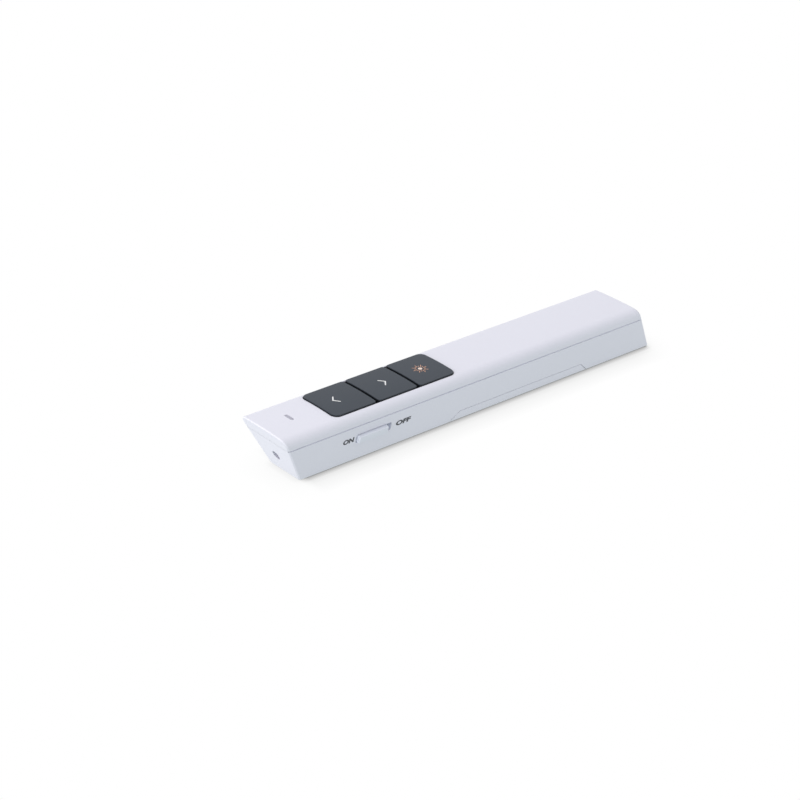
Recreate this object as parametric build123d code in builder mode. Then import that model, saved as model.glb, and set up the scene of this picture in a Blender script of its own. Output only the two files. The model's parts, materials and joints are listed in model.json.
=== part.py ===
from build123d import *
from math import atan, cos, degrees, radians, sin, sqrt, tan
import os

# Wireless presentation clicker: a slim two-shell handset with three keys on top, a power slider on
# its right flank, a laser in the nose, one AAA cell under a hinged cover and a USB receiver in the
# tail. Millimetres. +Z is up, -Y is the nose, +X is the flank with the power slider. The origin is
# the middle of the footprint, on the flat underside. Places along the body are measured from that
# middle, except those that are given from the nose or the tail.

# ---------------------------------------------------------------- driving dimensions: housing
body_length = 156.7  # nose tip at the top edge to tail tip at the bottom edge
body_height = 17.8
bottom_width = 13.8
side_slant = 13.3  # degrees that each flank leans outwards
front_slant = 27.2  # degrees that the nose face is undercut
back_slant = 31.0  # degrees that the tail face leans forwards
crown_radius = 121.0  # the top is very slightly domed
top_edge_radius = 2.5
bottom_edge_radius = 1.0
end_edge = 0.4  # bevel round the nose and tail faces
wall = 1.4
inner_edge_radius = 0.5
seam_height = 13.1
seam_groove = 0.4  # height of the shadow line between the shells
seam_groove_depth = 0.2
lip_height = 1.0
lip_thickness = 0.6
lip_gap = 0.08
rib_thickness = 1.0
ceiling_ribs = 4
ceiling_rib_pitch = 13.0
ceiling_rib_length = 8.0
ceiling_rib_gap = 0.1  # to the contact strip on the bay's roof

# ---------------------------------------------------------------- driving dimensions: keys
key_names = ("button_previous", "button_next", "button_laser")
key_spans = (16.4, 16.1, 14.95)  # length of the panel that each key takes, with its half gaps
key_gap = 0.9  # between two keys
key_width = 16.2
key_panel_front = -57.5
key_rise = 0.45  # above the housing
key_travel = 0.5
key_clearance = 0.2
key_outer_corner = 2.2
key_inner_corner = 1.0
key_edge = 0.15  # bevel round the top of each key
key_skin = 1.05
key_skirt = 1.1
key_flange = 0.5  # reach beyond the ends of the window
key_flange_thickness = 0.8
key_stem_radius = 1.6
key_stem_length = 1.38

# ---------------------------------------------------------------- driving dimensions: electronics
board_thickness = 1.2
board_gap = 0.2
board_rear = -9.4
board_corner = 1.0
ledge_reach = 1.2  # how far a ledge reaches under the board
ledge_places = ((-1, -62.0), (1, -62.0), (-1, -30.0), (1, -30.0))  # side, y
switch_side = 6.0
switch_height = 3.1
switch_bevel = 0.2
plunger_radius = 1.7
plunger_height = 1.2  # above the switch body
plunger_depth = 1.3  # inside the switch body
plunger_clearance = 0.06
touch_gap = 0.05  # between a key stem and its plunger
light_pipe_setback = 10.3  # from the nose
light_pipe_length = 3.6
light_pipe_width = 1.0
light_pipe_draft = 2  # degrees
light_pipe_flange = 0.7
light_pipe_fit = 0.05
led_length = 3.2
led_width = 1.6
led_height = 1.1
led_bevel = 0.2
chip_side = 4.0
chip_height = 0.9
chip_bevel = 0.15
crystal_length = 3.2
crystal_width = 2.5
crystal_height = 0.8
crystal_bevel = 0.3
inductor_side = 4.0
inductor_height = 2.0
inductor_bevel = 0.5
inductor_dish_radius = 1.3
inductor_dish = 0.25
part_spacing = 1.2  # between parts on the board

# ---------------------------------------------------------------- driving dimensions: laser
laser_board_gap = 0.3  # between the barrel and the board
laser_hole_radius = 1.5
laser_boss_radius = 3.2
laser_boss_setback = 10.35  # from the nose
window_radius = 2.2
window_thickness = 0.8
window_fit = 0.04
barrel_radius = 3.0
barrel_length = 12.0
barrel_fit = 0.03
barrel_wall = 0.6
barrel_lip = 0.8
barrel_rib_places = (0.3, 0.8)  # shares of the barrel's length from its front
lens_thickness = 1.8
lens_bevel = 0.6
diode_flange_radius = 2.8
diode_flange_thickness = 1.2
diode_can_radius = 1.9
diode_can_length = 2.4
diode_fit = 0.03
lead_radius = 0.25
lead_spacing = 1.4

# ---------------------------------------------------------------- driving dimensions: power slider
slider_y = -43.05
slot_length = 13.5
slot_height = 3.1
slot_corner = 0.6
slider_travel = 1.5
slider_clearance = 0.2
slider_end_gap = 0.25
slider_rise = 1.1
slider_edge = 0.35
slider_flange = 2.2
slider_flange_height = 0.7
slider_flange_thickness = 0.8
slider_back_gap = 0.12
slide_switch_length = 8.6
slide_switch_depth = 3.4
slide_switch_height = 3.3
slide_switch_gap = 0.25
lever_width = 1.6
lever_height = 1.4
lever_fit = 0.04
lever_reach = 1.1  # into the slider, past its flange

# ---------------------------------------------------------------- driving dimensions: battery
cell_radius = 5.25
cell_length = 44.5
cell_nub_radius = 1.9
cell_nub_length = 0.9
cell_edge = 0.35
cell_floor_gap = 0.25
bay_front = -3.4
bay_gap = 0.3
bay_wall = 1.0
contact_thickness = 0.3
contact_width = 7.6
contact_dimple_radius = 1.5
contact_dimple = 0.3
contact_dimple_slant = 30  # degrees
contact_gap = 0.1
strip_width = 1.2
strip_offset = 3.2  # beside the case screw
strip_overlap = 2.0  # under the board's rear edge
spring_length = 4.4
spring_wire_radius = 0.3
spring_turns = 3
spring_wire_sides = 6
spring_small_radius = 2.0
spring_large_radius = 3.6

# ---------------------------------------------------------------- driving dimensions: cover
cover_front = -11.1  # at the underside
cover_length = 60.4
cover_rise = 3.4  # height of its side flaps
cover_end_slant = 49.0  # degrees from vertical
cover_floor = 1.4
cover_side = 1.0
cover_gap = 0.12
cover_step_wall = 1.0
hook_offset = 4.3
hook_width = 2.4
hook_thickness = 0.8
hook_clearance = 0.22
hook_sweep = 112.0
nib_width = 4.0
nib_reach = 0.35
nib_height = 0.5
nib_low = 0.6
grip_grooves = 5
grip_pitch = 1.5
grip_width = 0.7
grip_depth = 0.3
grip_length = 7.0
grip_inset = 6.0  # first groove to the rear end of the cover

# ---------------------------------------------------------------- driving dimensions: screws
case_screw_y = -6.9
case_post_radius = 2.3
case_screw_radius = 0.9
case_screw_length = 10.0
case_head_radius = 1.7
case_head_height = 1.2
case_boss_bottom = 9.4
board_screw_places = ((-5.0, -49.5), (0.0, -12.0))
board_post_radius = 1.9
board_screw_radius = 0.75
board_screw_length = 5.0
board_head_radius = 1.5
board_head_height = 1.0
screw_fit = 0.03
screw_clearance = 0.2
head_clearance = 0.3
driver_width = 0.5
driver_depth = 0.5

# ---------------------------------------------------------------- driving dimensions: receiver
receiver_axis = 8.4
plug_width = 12.0
plug_height = 4.5
plug_length = 12.0
plug_metal = 0.3
plug_embed = 3.0
plug_hole_width = 2.3
plug_hole_length = 2.0
plug_hole_spacing = 4.6
plug_hole_setback = 5.1  # of the middle of each hole from the plug's mouth
cap_width = 13.2
cap_height = 6.4
cap_depth = 10.85  # of its front face below the tail tip
cap_proud = 0.8
cap_corner = 0.5
cap_edge = 0.25
receiver_gap = 0.15
sleeve_wall = 1.0
tongue_width = 11.0
tongue_thickness = 1.9
tongue_setback = 0.6
scoop_width = 8.0  # recess under the cap, for a fingernail
scoop_reach = 2.4
scoop_depth = 0.9
scoop_corner = 1.2

# ---------------------------------------------------------------- places worked out from the sizes
side_tan = tan(radians(side_slant))
side_cos = cos(radians(side_slant))
side_sin = sin(radians(side_slant))
front_tan = tan(radians(front_slant))
front_cos = cos(radians(front_slant))
back_tan = tan(radians(back_slant))
back_cos = cos(radians(back_slant))
crown_centre = body_height - crown_radius

nose = -body_length / 2
tail = body_length / 2
key_panel_length = sum(key_spans)
key_panel_middle = key_panel_front + key_panel_length / 2
key_centres = [
    key_panel_front + sum(key_spans[:index]) + span / 2 for index, span in enumerate(key_spans)
]
cover_tan = tan(radians(cover_end_slant))
cover_rear = cover_front + cover_length
light_pipe_y = nose + light_pipe_setback
laser_boss_end = nose + laser_boss_setback
cap_front = tail - cap_depth
case_head_low = cover_floor + cover_gap + head_clearance
case_screw_tip = case_head_low + case_head_height + case_screw_length
cell_axis = cover_floor + cell_floor_gap + cell_radius
cell_front = bay_front + contact_thickness + contact_dimple
bay_rear = cell_front + cell_length + spring_length + contact_thickness
bay_radius = cell_radius + bay_gap
bay_roof = cell_axis + bay_radius + bay_wall
rib_low = bay_roof + contact_thickness + ceiling_rib_gap
barrel_rear = laser_boss_end + barrel_length
far = body_length  # longer than anything it has to cut


def side_x(z, inset=0.0):
    """Half width of the housing at height z, measured inside a skin of thickness inset."""
    return bottom_width / 2 + z * side_tan - inset / side_cos


def crown_z(x, inset=0.0):
    """Height of the domed top at x, measured inside a skin of thickness inset."""
    return crown_centre + sqrt((crown_radius - inset) ** 2 - x**2)


def front_y(z, inset=0.0):
    return nose + (body_height - z) * front_tan + inset / front_cos


def back_y(z, inset=0.0):
    return tail - z * back_tan - inset / back_cos


def top_corner(inset):
    """Where the flank meets the domed top, from the line and the circle."""
    start = side_x(0, inset)
    square = 1 + side_tan**2
    linear = start * side_tan - crown_centre
    constant = start**2 + crown_centre**2 - (crown_radius - inset) ** 2
    z = (-linear + sqrt(linear**2 - square * constant)) / square
    return side_x(z, inset), z


# heights from the key tops down: key stem, plunger, switch, board, and what hangs under the board
key_hollow = crown_z(key_width / 2, -key_rise) - key_skin
plunger_top = key_hollow - key_stem_length - touch_gap
switch_top = plunger_top - plunger_height
board_top = switch_top - switch_height
board_bottom = board_top - board_thickness
laser_axis = board_bottom - laser_board_gap - barrel_radius
slider_z = board_bottom - slide_switch_height / 2
strip_z = board_bottom - contact_thickness

front_plane = Plane(origin=(0, nose, body_height), x_dir=(1, 0, 0), z_dir=(0, -1, -front_tan))
back_plane = Plane(origin=(0, tail, 0), x_dir=(1, 0, 0), z_dir=(0, 1, back_tan))
slider_plane = Plane(
    origin=(side_x(slider_z), slider_y, slider_z), x_dir=(0, 1, 0), z_dir=(side_cos, 0, -side_sin)
)


def body_form(inset, floor, top_radius, bottom_radius=0.0, end_bevel=0.0):
    """The housing's outer form, drawn in by inset and cut off flat at the height floor."""
    low = side_x(floor, inset)
    high, shoulder = top_corner(inset)
    with BuildPart() as form:
        with BuildSketch(Plane.XZ) as section:
            with BuildLine():
                Line((-low, floor), (low, floor))
                Line((low, floor), (high, shoulder))
                ThreePointArc((high, shoulder), (0, body_height - inset), (-high, shoulder))
                Line((-high, shoulder), (-low, floor))
            make_face()
            fillet(section.vertices().group_by(Axis.Y)[-1], top_radius)
            if bottom_radius > 0:
                fillet(section.vertices().group_by(Axis.Y)[0], bottom_radius)
        extrude(amount=body_length, both=True)
        split(bisect_by=front_plane.offset(-inset), keep=Keep.BOTTOM)
        split(bisect_by=back_plane.offset(-inset), keep=Keep.BOTTOM)
        if end_bevel > 0:
            chamfer(form.faces().sort_by(Axis.Y)[0].edges(), end_bevel)
            chamfer(form.faces().sort_by(Axis.Y)[-1].edges(), end_bevel)
    return form.part


outer_form = body_form(0, 0, top_edge_radius, bottom_edge_radius, end_edge)
cavity_form = body_form(wall, wall, inner_edge_radius)
clip_form = body_form(wall / 2, wall / 2, inner_edge_radius)
groove_form = body_form(seam_groove_depth, 0, top_edge_radius - seam_groove_depth)
lip_form = body_form(wall - lip_thickness, 0, inner_edge_radius)
rebate_form = body_form(wall - lip_thickness - lip_gap, 0, inner_edge_radius)

# the shadow line runs along the flanks and the tail; on the nose the shells meet closed
with BuildPart() as seam_ring:
    with BuildSketch(Plane.XY.offset(seam_height)):
        with Locations((0, front_y(seam_height))):
            Rectangle(far, far * 2, align=(Align.CENTER, Align.MIN))
    extrude(amount=seam_groove)
    add(groove_form, mode=Mode.SUBTRACT)

with BuildPart() as shell_lip:
    add(lip_form)
    add(cavity_form, mode=Mode.SUBTRACT)
    split(bisect_by=Plane.XY.offset(seam_height), keep=Keep.TOP)
    split(bisect_by=Plane.XY.offset(seam_height + lip_height), keep=Keep.BOTTOM)

with BuildPart() as shell_rebate:
    add(rebate_form)
    split(bisect_by=Plane.XY.offset(seam_height + lip_height + lip_gap), keep=Keep.BOTTOM)

# ================================================================ top shell
with BuildPart() as top_shell:
    add(outer_form)
    split(bisect_by=Plane.XY.offset(seam_height), keep=Keep.TOP)
    add(cavity_form, mode=Mode.SUBTRACT)
    add(shell_rebate.part, mode=Mode.SUBTRACT)
    add(seam_ring.part, mode=Mode.SUBTRACT)
    # the boss that the case screw bites into, and ribs across the ceiling over the battery bay
    with BuildSketch(Plane.XY.offset(case_boss_bottom)):
        with Locations((0, case_screw_y)):
            Circle(case_post_radius)
    extrude(amount=body_height - wall / 2 - case_boss_bottom)
    with BuildSketch(Plane.XY.offset(rib_low)):
        with Locations((0, (bay_front + bay_rear) / 2)):
            with GridLocations(1, ceiling_rib_pitch, 1, ceiling_ribs):
                Rectangle(ceiling_rib_length, rib_thickness)
    extrude(amount=body_height - wall / 2 - rib_low)
    # one window for the three keys, and the slot of the light pipe
    with BuildSketch(Plane.XY.offset(seam_height)):
        with Locations((0, key_panel_middle)):
            RectangleRounded(
                key_width + 2 * key_clearance,
                key_panel_length + 2 * key_clearance,
                key_outer_corner + key_clearance,
            )
        with Locations((0, light_pipe_y)):
            SlotOverall(light_pipe_length + 2 * light_pipe_fit, light_pipe_width + 2 * light_pipe_fit)
    extrude(amount=body_height, mode=Mode.SUBTRACT)
    # pilot hole for the case screw
    with BuildSketch(Plane.XY.offset(case_boss_bottom)):
        with Locations((0, case_screw_y)):
            Circle(case_screw_radius + screw_fit)
    extrude(amount=case_screw_tip + screw_clearance - case_boss_bottom, mode=Mode.SUBTRACT)

# ================================================================ battery cover
cover_inner_form = body_form(cover_side, cover_floor, inner_edge_radius)
cover_core_form = body_form(cover_side + cover_gap, cover_floor + cover_gap, inner_edge_radius)
cover_step_form = body_form(
    cover_side + cover_gap + cover_step_wall, cover_floor + cover_gap + cover_step_wall, inner_edge_radius
)


def cover_prism(grow):
    """The cover's side view, with slanted ends, grown by a gap and run across the housing."""
    end_grow = grow / cos(radians(cover_end_slant))
    top = cover_rise + grow
    low_front = cover_front - end_grow
    low_rear = cover_rear + end_grow
    with BuildPart() as prism:
        with BuildSketch(Plane.YZ):
            with BuildLine():
                Polyline(
                    (low_front, 0),
                    (low_rear, 0),
                    (low_rear - top * cover_tan, top),
                    (low_front + top * cover_tan, top),
                    close=True,
                )
            make_face()
        extrude(amount=bottom_width, both=True)
    return prism.part


# the hooks turn about the cover's front edge, so they are arcs about it that clear the shell's floor
hinge_y = cover_front - cover_gap
floor_tip = (cover_gap / cos(radians(cover_end_slant)) - wall * cover_tan, wall)
hook_inner = sqrt((floor_tip[0] - cover_gap) ** 2 + floor_tip[1] ** 2) + hook_clearance
hook_outer = hook_inner + hook_thickness
hook_room = hook_outer + hook_clearance
nib_y = cover_rear - (nib_low + nib_height / 2) * cover_tan
hook_sites = [(offset - hook_width / 2) for offset in (-hook_offset, hook_offset)]

with BuildPart() as battery_cover:
    add(outer_form)
    add(cover_prism(0), mode=Mode.INTERSECT)
    add(cover_inner_form, mode=Mode.SUBTRACT)
    for hook_start in hook_sites:
        with BuildSketch(Plane.YZ.offset(hook_start)):
            with Locations((hinge_y, 0)):
                Circle(hook_outer)
                Circle(hook_inner, mode=Mode.SUBTRACT)
                Polygon(
                    (0, cover_floor / 2),
                    (far, cover_floor / 2),
                    (far, far),
                    (far * cos(radians(hook_sweep)), far * sin(radians(hook_sweep))),
                    align=None,
                    mode=Mode.INTERSECT,
                )
        extrude(amount=hook_width)
    # the nib that snaps into the shell at the rear end
    with BuildSketch(Plane.XY.offset(nib_low)):
        with Locations((0, nib_y)):
            Rectangle(nib_width, 2 * nib_reach)
    extrude(amount=nib_height)
    # grip grooves for the thumb
    with BuildSketch(Plane.XY):
        with Locations((0, cover_rear - grip_inset - (grip_grooves - 1) * grip_pitch / 2)):
            with GridLocations(1, grip_pitch, 1, grip_grooves):
                Rectangle(grip_length, grip_width)
    extrude(amount=grip_depth, mode=Mode.SUBTRACT)

# ================================================================ inside of the bottom shell
receiver_low = receiver_axis - cap_height / 2
plug_front = cap_front - plug_length
laser_ribs = [laser_boss_end + barrel_length * share for share in barrel_rib_places]

with BuildPart() as bottom_ribs:
    # battery bay: an arched tunnel with two end walls
    with BuildSketch(Plane.XZ.offset(-(bay_front - bay_wall))):
        with Locations((0, cell_axis)):
            Circle(bay_radius + bay_wall)
        with Locations((0, cell_axis / 2)):
            Rectangle(2 * (bay_radius + bay_wall), cell_axis)
    extrude(amount=-(bay_rear - bay_front + 2 * bay_wall))
    # post of the case screw
    with BuildSketch(Plane.XY):
        with Locations((0, case_screw_y)):
            Circle(case_post_radius)
    extrude(amount=case_boss_bottom)
    # posts of the board screws
    with BuildSketch(Plane.XY):
        with Locations(*board_screw_places):
            Circle(board_post_radius)
    extrude(amount=board_bottom)
    # gusset ledges that the board's edges rest on
    for side, ledge_y in ledge_places:
        with BuildSketch(Plane.XZ.offset(-ledge_y)):
            with Locations((side * side_x(board_bottom, wall), board_bottom / 2)):
                Rectangle(2 * ledge_reach, board_bottom)
        extrude(amount=rib_thickness / 2, both=True)
    # boss behind the laser hole, and the ribs that cradle the barrel
    with BuildSketch(Plane.XZ.offset(-laser_boss_end)):
        with Locations((0, laser_axis)):
            Circle(laser_boss_radius)
    extrude(amount=body_height)
    for rib_y in laser_ribs:
        with BuildSketch(Plane.XZ.offset(-rib_y)):
            with Locations((0, laser_axis / 2)):
                Rectangle(bottom_width * 2, laser_axis)
        extrude(amount=rib_thickness / 2, both=True)
    # sleeve that the receiver's plug slides into, on a web down to the floor
    with BuildSketch(Plane.XZ.offset(-(plug_front - sleeve_wall))):
        with Locations((0, receiver_axis)):
            Rectangle(bottom_width * 2, plug_height + 2 * (receiver_gap + sleeve_wall))
        with Locations((0, receiver_axis / 2)):
            Rectangle(sleeve_wall, receiver_axis)
    extrude(amount=-(cap_front - plug_front + sleeve_wall))
    # collar round the receiver's cap, behind the tail face
    with BuildSketch(Plane.XZ.offset(-cap_front)):
        with Locations((0, receiver_axis)):
            Rectangle(bottom_width * 2, cap_height + 2 * (receiver_gap + sleeve_wall))
    extrude(amount=-body_height)
    add(clip_form, mode=Mode.INTERSECT)

with BuildPart() as cover_seat:
    add(cover_prism(cover_gap + cover_step_wall))
    add(clip_form, mode=Mode.INTERSECT)
    add(cover_step_form, mode=Mode.SUBTRACT)

with BuildPart() as cover_recess:
    add(cover_prism(cover_gap))
    add(cover_core_form, mode=Mode.SUBTRACT)

# ================================================================ bottom shell
with BuildPart() as bottom_shell:
    add(outer_form)
    split(bisect_by=Plane.XY.offset(seam_height), keep=Keep.BOTTOM)
    add(cavity_form, mode=Mode.SUBTRACT)
    add(shell_lip.part)
    add(bottom_ribs.part)
    add(cover_seat.part)
    add(cover_recess.part, mode=Mode.SUBTRACT)
    # inside of the battery bay, open downwards
    with BuildSketch(Plane.XZ.offset(-bay_front)):
        with Locations((0, cell_axis)):
            Circle(bay_radius)
        with Locations((0, cell_axis / 2)):
            Rectangle(2 * bay_radius, cell_axis)
    extrude(amount=-(bay_rear - bay_front), mode=Mode.SUBTRACT)
    # slits that the contacts drop into: for their necks in the roof, for the strip in the front wall
    with BuildSketch(Plane.XY.offset(cell_axis)):
        with Locations(
            (0, bay_rear - contact_thickness / 2), (strip_offset, bay_front + contact_thickness / 2)
        ):
            Rectangle(strip_width + 2 * contact_gap, contact_thickness + 2 * contact_gap)
    extrude(amount=body_height, mode=Mode.SUBTRACT)
    with BuildSketch(Plane.XY.offset(strip_z - contact_gap)):
        with Locations((strip_offset, bay_front - bay_wall / 2)):
            Rectangle(strip_width + 2 * contact_gap, 2 * bay_wall)
    extrude(amount=body_height, mode=Mode.SUBTRACT)
    # room for the cover's hooks
    for hook_start in hook_sites:
        with BuildSketch(Plane.YZ.offset(hook_start - hook_clearance)):
            with Locations((hinge_y, 0)):
                Circle(hook_room)
            with Locations((hinge_y - far / 2, 0)):
                Rectangle(far, far * 2, mode=Mode.SUBTRACT)
        extrude(amount=hook_width + 2 * hook_clearance, mode=Mode.SUBTRACT)
    # pocket of the cover's nib
    with BuildSketch(Plane.XY.offset(nib_low - cover_gap)):
        with Locations((0, nib_y)):
            Rectangle(nib_width + 2 * cover_gap, 2 * (nib_reach + cover_gap) + cover_gap)
    extrude(amount=nib_height + 2 * cover_gap, mode=Mode.SUBTRACT)
    # laser hole, widened behind for the window, and the seat of the barrel
    with BuildSketch(Plane.XZ.offset(-laser_boss_end)):
        with Locations((0, laser_axis)):
            Circle(laser_hole_radius)
    extrude(amount=body_height, mode=Mode.SUBTRACT)
    with BuildSketch(Plane.XZ.offset(-laser_boss_end)):
        with Locations((0, laser_axis)):
            Circle(window_radius + window_fit)
    extrude(amount=window_thickness, mode=Mode.SUBTRACT)
    with BuildSketch(Plane.XZ.offset(-laser_boss_end)):
        with Locations((0, laser_axis)):
            Circle(barrel_radius + barrel_fit)
    extrude(amount=-barrel_length, mode=Mode.SUBTRACT)
    # slot of the power slider
    with BuildSketch(slider_plane):
        RectangleRounded(slot_length, slot_height, slot_corner)
    extrude(amount=2 * wall, both=True, mode=Mode.SUBTRACT)
    # the receiver's tunnel and the mouth for its cap
    with BuildSketch(Plane.XZ.offset(-(plug_front - receiver_gap))):
        with Locations((0, receiver_axis)):
            Rectangle(plug_width + 2 * receiver_gap, plug_height + 2 * receiver_gap)
    extrude(amount=-body_height, mode=Mode.SUBTRACT)
    with BuildSketch(Plane.XZ.offset(-(cap_front - receiver_gap))):
        with Locations((0, receiver_axis)):
            RectangleRounded(
                cap_width + 2 * receiver_gap, cap_height + 2 * receiver_gap, cap_corner + receiver_gap
            )
    extrude(amount=-body_height, mode=Mode.SUBTRACT)
    # recess under the mouth, so that a fingernail gets behind the cap's lower edge
    with BuildSketch(back_plane.offset(-scoop_depth)):
        with Locations((0, (receiver_gap - receiver_low) / back_cos)):
            RectangleRounded(scoop_width, 2 * scoop_reach, scoop_corner)
    extrude(amount=body_height, mode=Mode.SUBTRACT)
    # holes for the screws
    with Locations((0, case_screw_y, 0)):
        Cylinder(case_screw_radius + screw_clearance, 2 * case_boss_bottom, mode=Mode.SUBTRACT)
        Cylinder(
            case_head_radius + head_clearance,
            2 * (cover_floor + cover_gap + case_head_height + head_clearance),
            mode=Mode.SUBTRACT,
        )
    for place in board_screw_places:
        with BuildSketch(Plane.XY.offset(board_bottom)):
            with Locations(place):
                Circle(board_screw_radius + screw_fit)
        extrude(amount=-board_screw_length, mode=Mode.SUBTRACT)

# ================================================================ keys, switches and plungers
flange_top = crown_z(key_width / 2, wall) - key_clearance
flange_half = side_x(flange_top - key_flange_thickness, wall) - 2 * key_clearance
crown_limit = body_form(-key_rise, 0, key_rise)


def key_cap(index):
    """One key: a crowned cap with a skirt, a retaining flange inside the window, and a stem."""
    middle = key_centres[index]
    first = index == 0
    last = index == len(key_names) - 1
    cap_length = key_spans[index] - key_gap * (0.5 if first or last else 1.0)
    shift = key_gap / 4 * (int(last) - int(first))
    front_corner = key_outer_corner if first else key_inner_corner
    rear_corner = key_outer_corner if last else key_inner_corner
    flange_front = key_flange + key_clearance if first else 0.0
    flange_rear = key_flange + key_clearance if last else 0.0
    with BuildPart() as key:
        with BuildSketch(Plane.XY.offset(flange_top)) as outline:
            with Locations((0, middle + shift)):
                Rectangle(key_width, cap_length)
            fillet(outline.vertices().group_by(Axis.Y)[0], front_corner)
            fillet(outline.vertices().group_by(Axis.Y)[-1], rear_corner)
        extrude(amount=body_height)
        add(crown_limit, mode=Mode.INTERSECT)
        chamfer(key.faces().sort_by(Axis.Z)[-1].edges(), key_edge)
        with BuildSketch(Plane.XY.offset(flange_top)):
            with Locations((0, middle + shift + (flange_rear - flange_front) / 2)):
                Rectangle(2 * flange_half, cap_length + flange_front + flange_rear)
        extrude(amount=-key_flange_thickness)
        with BuildSketch(Plane.XY.offset(key_hollow)):
            with Locations((0, middle + shift)):
                Rectangle(key_width - 2 * key_skirt, cap_length - 2 * key_skirt)
        extrude(amount=-body_height, mode=Mode.SUBTRACT)
        with BuildSketch(Plane.XY.offset(plunger_top + touch_gap)):
            with Locations((0, middle)):
                Circle(key_stem_radius)
                Rectangle(key_skirt / 2, cap_length - key_skirt)
                Rectangle(key_width - key_skirt, key_skirt / 2)
        extrude(until=Until.NEXT)
    return key.part


def switch_body(middle):
    """A square tact switch with a metal lid and a round hole for its plunger."""
    with BuildPart() as body:
        with BuildSketch(Plane.XY.offset(board_top)):
            with Locations((0, middle)):
                Rectangle(switch_side, switch_side)
        extrude(amount=switch_height)
        chamfer(body.faces().sort_by(Axis.Z)[-1].edges(), switch_bevel)
        with BuildSketch(Plane.XY.offset(switch_top)):
            with Locations((0, middle)):
                Circle(plunger_radius + plunger_clearance)
        extrude(amount=-(plunger_depth + key_travel + touch_gap), mode=Mode.SUBTRACT)
    return body.part


def switch_plunger(middle):
    with BuildPart() as plunger:
        with BuildSketch(Plane.XY.offset(switch_top - plunger_depth)):
            with Locations((0, middle)):
                Circle(plunger_radius)
        extrude(amount=plunger_depth + plunger_height)
    return plunger.part


# ================================================================ main board and what it carries
board_half = side_x(board_bottom, wall) - board_gap
board_front = front_y(board_bottom, wall) + board_gap
knob_length = slot_length - slider_travel - 2 * slider_end_gap
knob_height = slot_height - 2 * slider_clearance
knob_shift = -slider_travel / 2
knob_y = slider_y + knob_shift
flange_outer = -wall - slider_back_gap
flange_inner = flange_outer - slider_flange_thickness
flange_low = slider_z - (slot_height / 2 + slider_flange_height)
board_notch = side_x(board_bottom, -flange_inner) - board_gap

with BuildPart() as main_board:
    with BuildSketch(Plane.XY.offset(board_bottom)):
        with Locations((0, (board_front + board_rear) / 2)):
            RectangleRounded(2 * board_half, board_rear - board_front, board_corner)
        # a notch that the power slider's flange moves in
        with Locations((board_half, slider_y)):
            Rectangle(
                2 * (board_half - board_notch),
                knob_length + slider_travel + 2 * (slider_flange + board_gap),
                mode=Mode.SUBTRACT,
            )
        with Locations(*board_screw_places):
            Circle(board_screw_radius + screw_clearance, mode=Mode.SUBTRACT)
    extrude(amount=board_thickness)

with BuildPart() as status_led:
    with BuildSketch(Plane.XY.offset(board_top)):
        with Locations((0, light_pipe_y)):
            Rectangle(led_length, led_width)
    extrude(amount=led_height)
    chamfer(status_led.faces().sort_by(Axis.Z)[-1].edges(), led_bevel)

pipe_ceiling = crown_z(light_pipe_length / 2 + light_pipe_flange, wall)

with BuildPart() as light_pipe:
    with BuildSketch(Plane.XY.offset(pipe_ceiling - light_pipe_flange)):
        with Locations((0, light_pipe_y)):
            SlotOverall(light_pipe_length, light_pipe_width)
    extrude(amount=body_height)
    add(outer_form, mode=Mode.INTERSECT)
    with BuildSketch(Plane.XY.offset(pipe_ceiling)):
        with Locations((0, light_pipe_y)):
            SlotOverall(light_pipe_length + 2 * light_pipe_flange, light_pipe_width + 2 * light_pipe_flange)
    extrude(amount=-light_pipe_flange)
    with BuildSketch(Plane.XY.offset(board_top + led_height)):
        with Locations((0, light_pipe_y)):
            Rectangle(led_length, led_width)
    extrude(amount=pipe_ceiling - board_top - led_height, taper=light_pipe_draft)

between_first = (key_centres[0] + key_centres[1]) / 2
between_last = (key_centres[1] + key_centres[2]) / 2

with BuildPart() as radio_chip:
    with BuildSketch(Plane.XY.offset(board_top)):
        with Locations((0, between_first)):
            Rectangle(chip_side, chip_side)
    extrude(amount=chip_height)
    chamfer(radio_chip.faces().sort_by(Axis.Z)[-1].edges(), chip_bevel)

with BuildPart() as crystal:
    with BuildSketch(Plane.XY.offset(board_top)):
        with Locations(((chip_side + crystal_width) / 2 + part_spacing, between_first)):
            Rectangle(crystal_width, crystal_length)
    extrude(amount=crystal_height)
    chamfer(crystal.edges().filter_by(Axis.Z), crystal_bevel)

with BuildPart() as power_inductor:
    with BuildSketch(Plane.XY.offset(board_top)):
        with Locations((0, between_last)):
            Rectangle(inductor_side, inductor_side)
    extrude(amount=inductor_height)
    chamfer(power_inductor.edges().filter_by(Axis.Z), inductor_bevel)
    with BuildSketch(Plane.XY.offset(board_top + inductor_height)):
        with Locations((0, between_last)):
            Circle(inductor_dish_radius)
    extrude(amount=-inductor_dish, mode=Mode.SUBTRACT)

# ================================================================ laser module
bore_radius = barrel_radius - barrel_wall


def laser_plane(y):
    """A plane across the laser's axis at y, drawn towards the tail."""
    return Plane(origin=(0, y, laser_axis), x_dir=(-1, 0, 0), z_dir=(0, 1, 0))


with BuildPart() as laser_window:
    with BuildSketch(laser_plane(laser_boss_end - window_thickness)):
        Circle(window_radius)
    extrude(amount=window_thickness)

with BuildPart() as laser_barrel:
    with BuildSketch(laser_plane(laser_boss_end)):
        Circle(barrel_radius)
    extrude(amount=barrel_length)
    with BuildSketch(laser_plane(laser_boss_end)):
        Circle(laser_hole_radius)
    extrude(amount=barrel_length, mode=Mode.SUBTRACT)
    with BuildSketch(laser_plane(laser_boss_end + barrel_lip)):
        Circle(bore_radius)
    extrude(amount=barrel_length, mode=Mode.SUBTRACT)
    with BuildSketch(laser_plane(barrel_rear - diode_flange_thickness)):
        Circle(diode_flange_radius + diode_fit)
    extrude(amount=barrel_length, mode=Mode.SUBTRACT)

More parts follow.
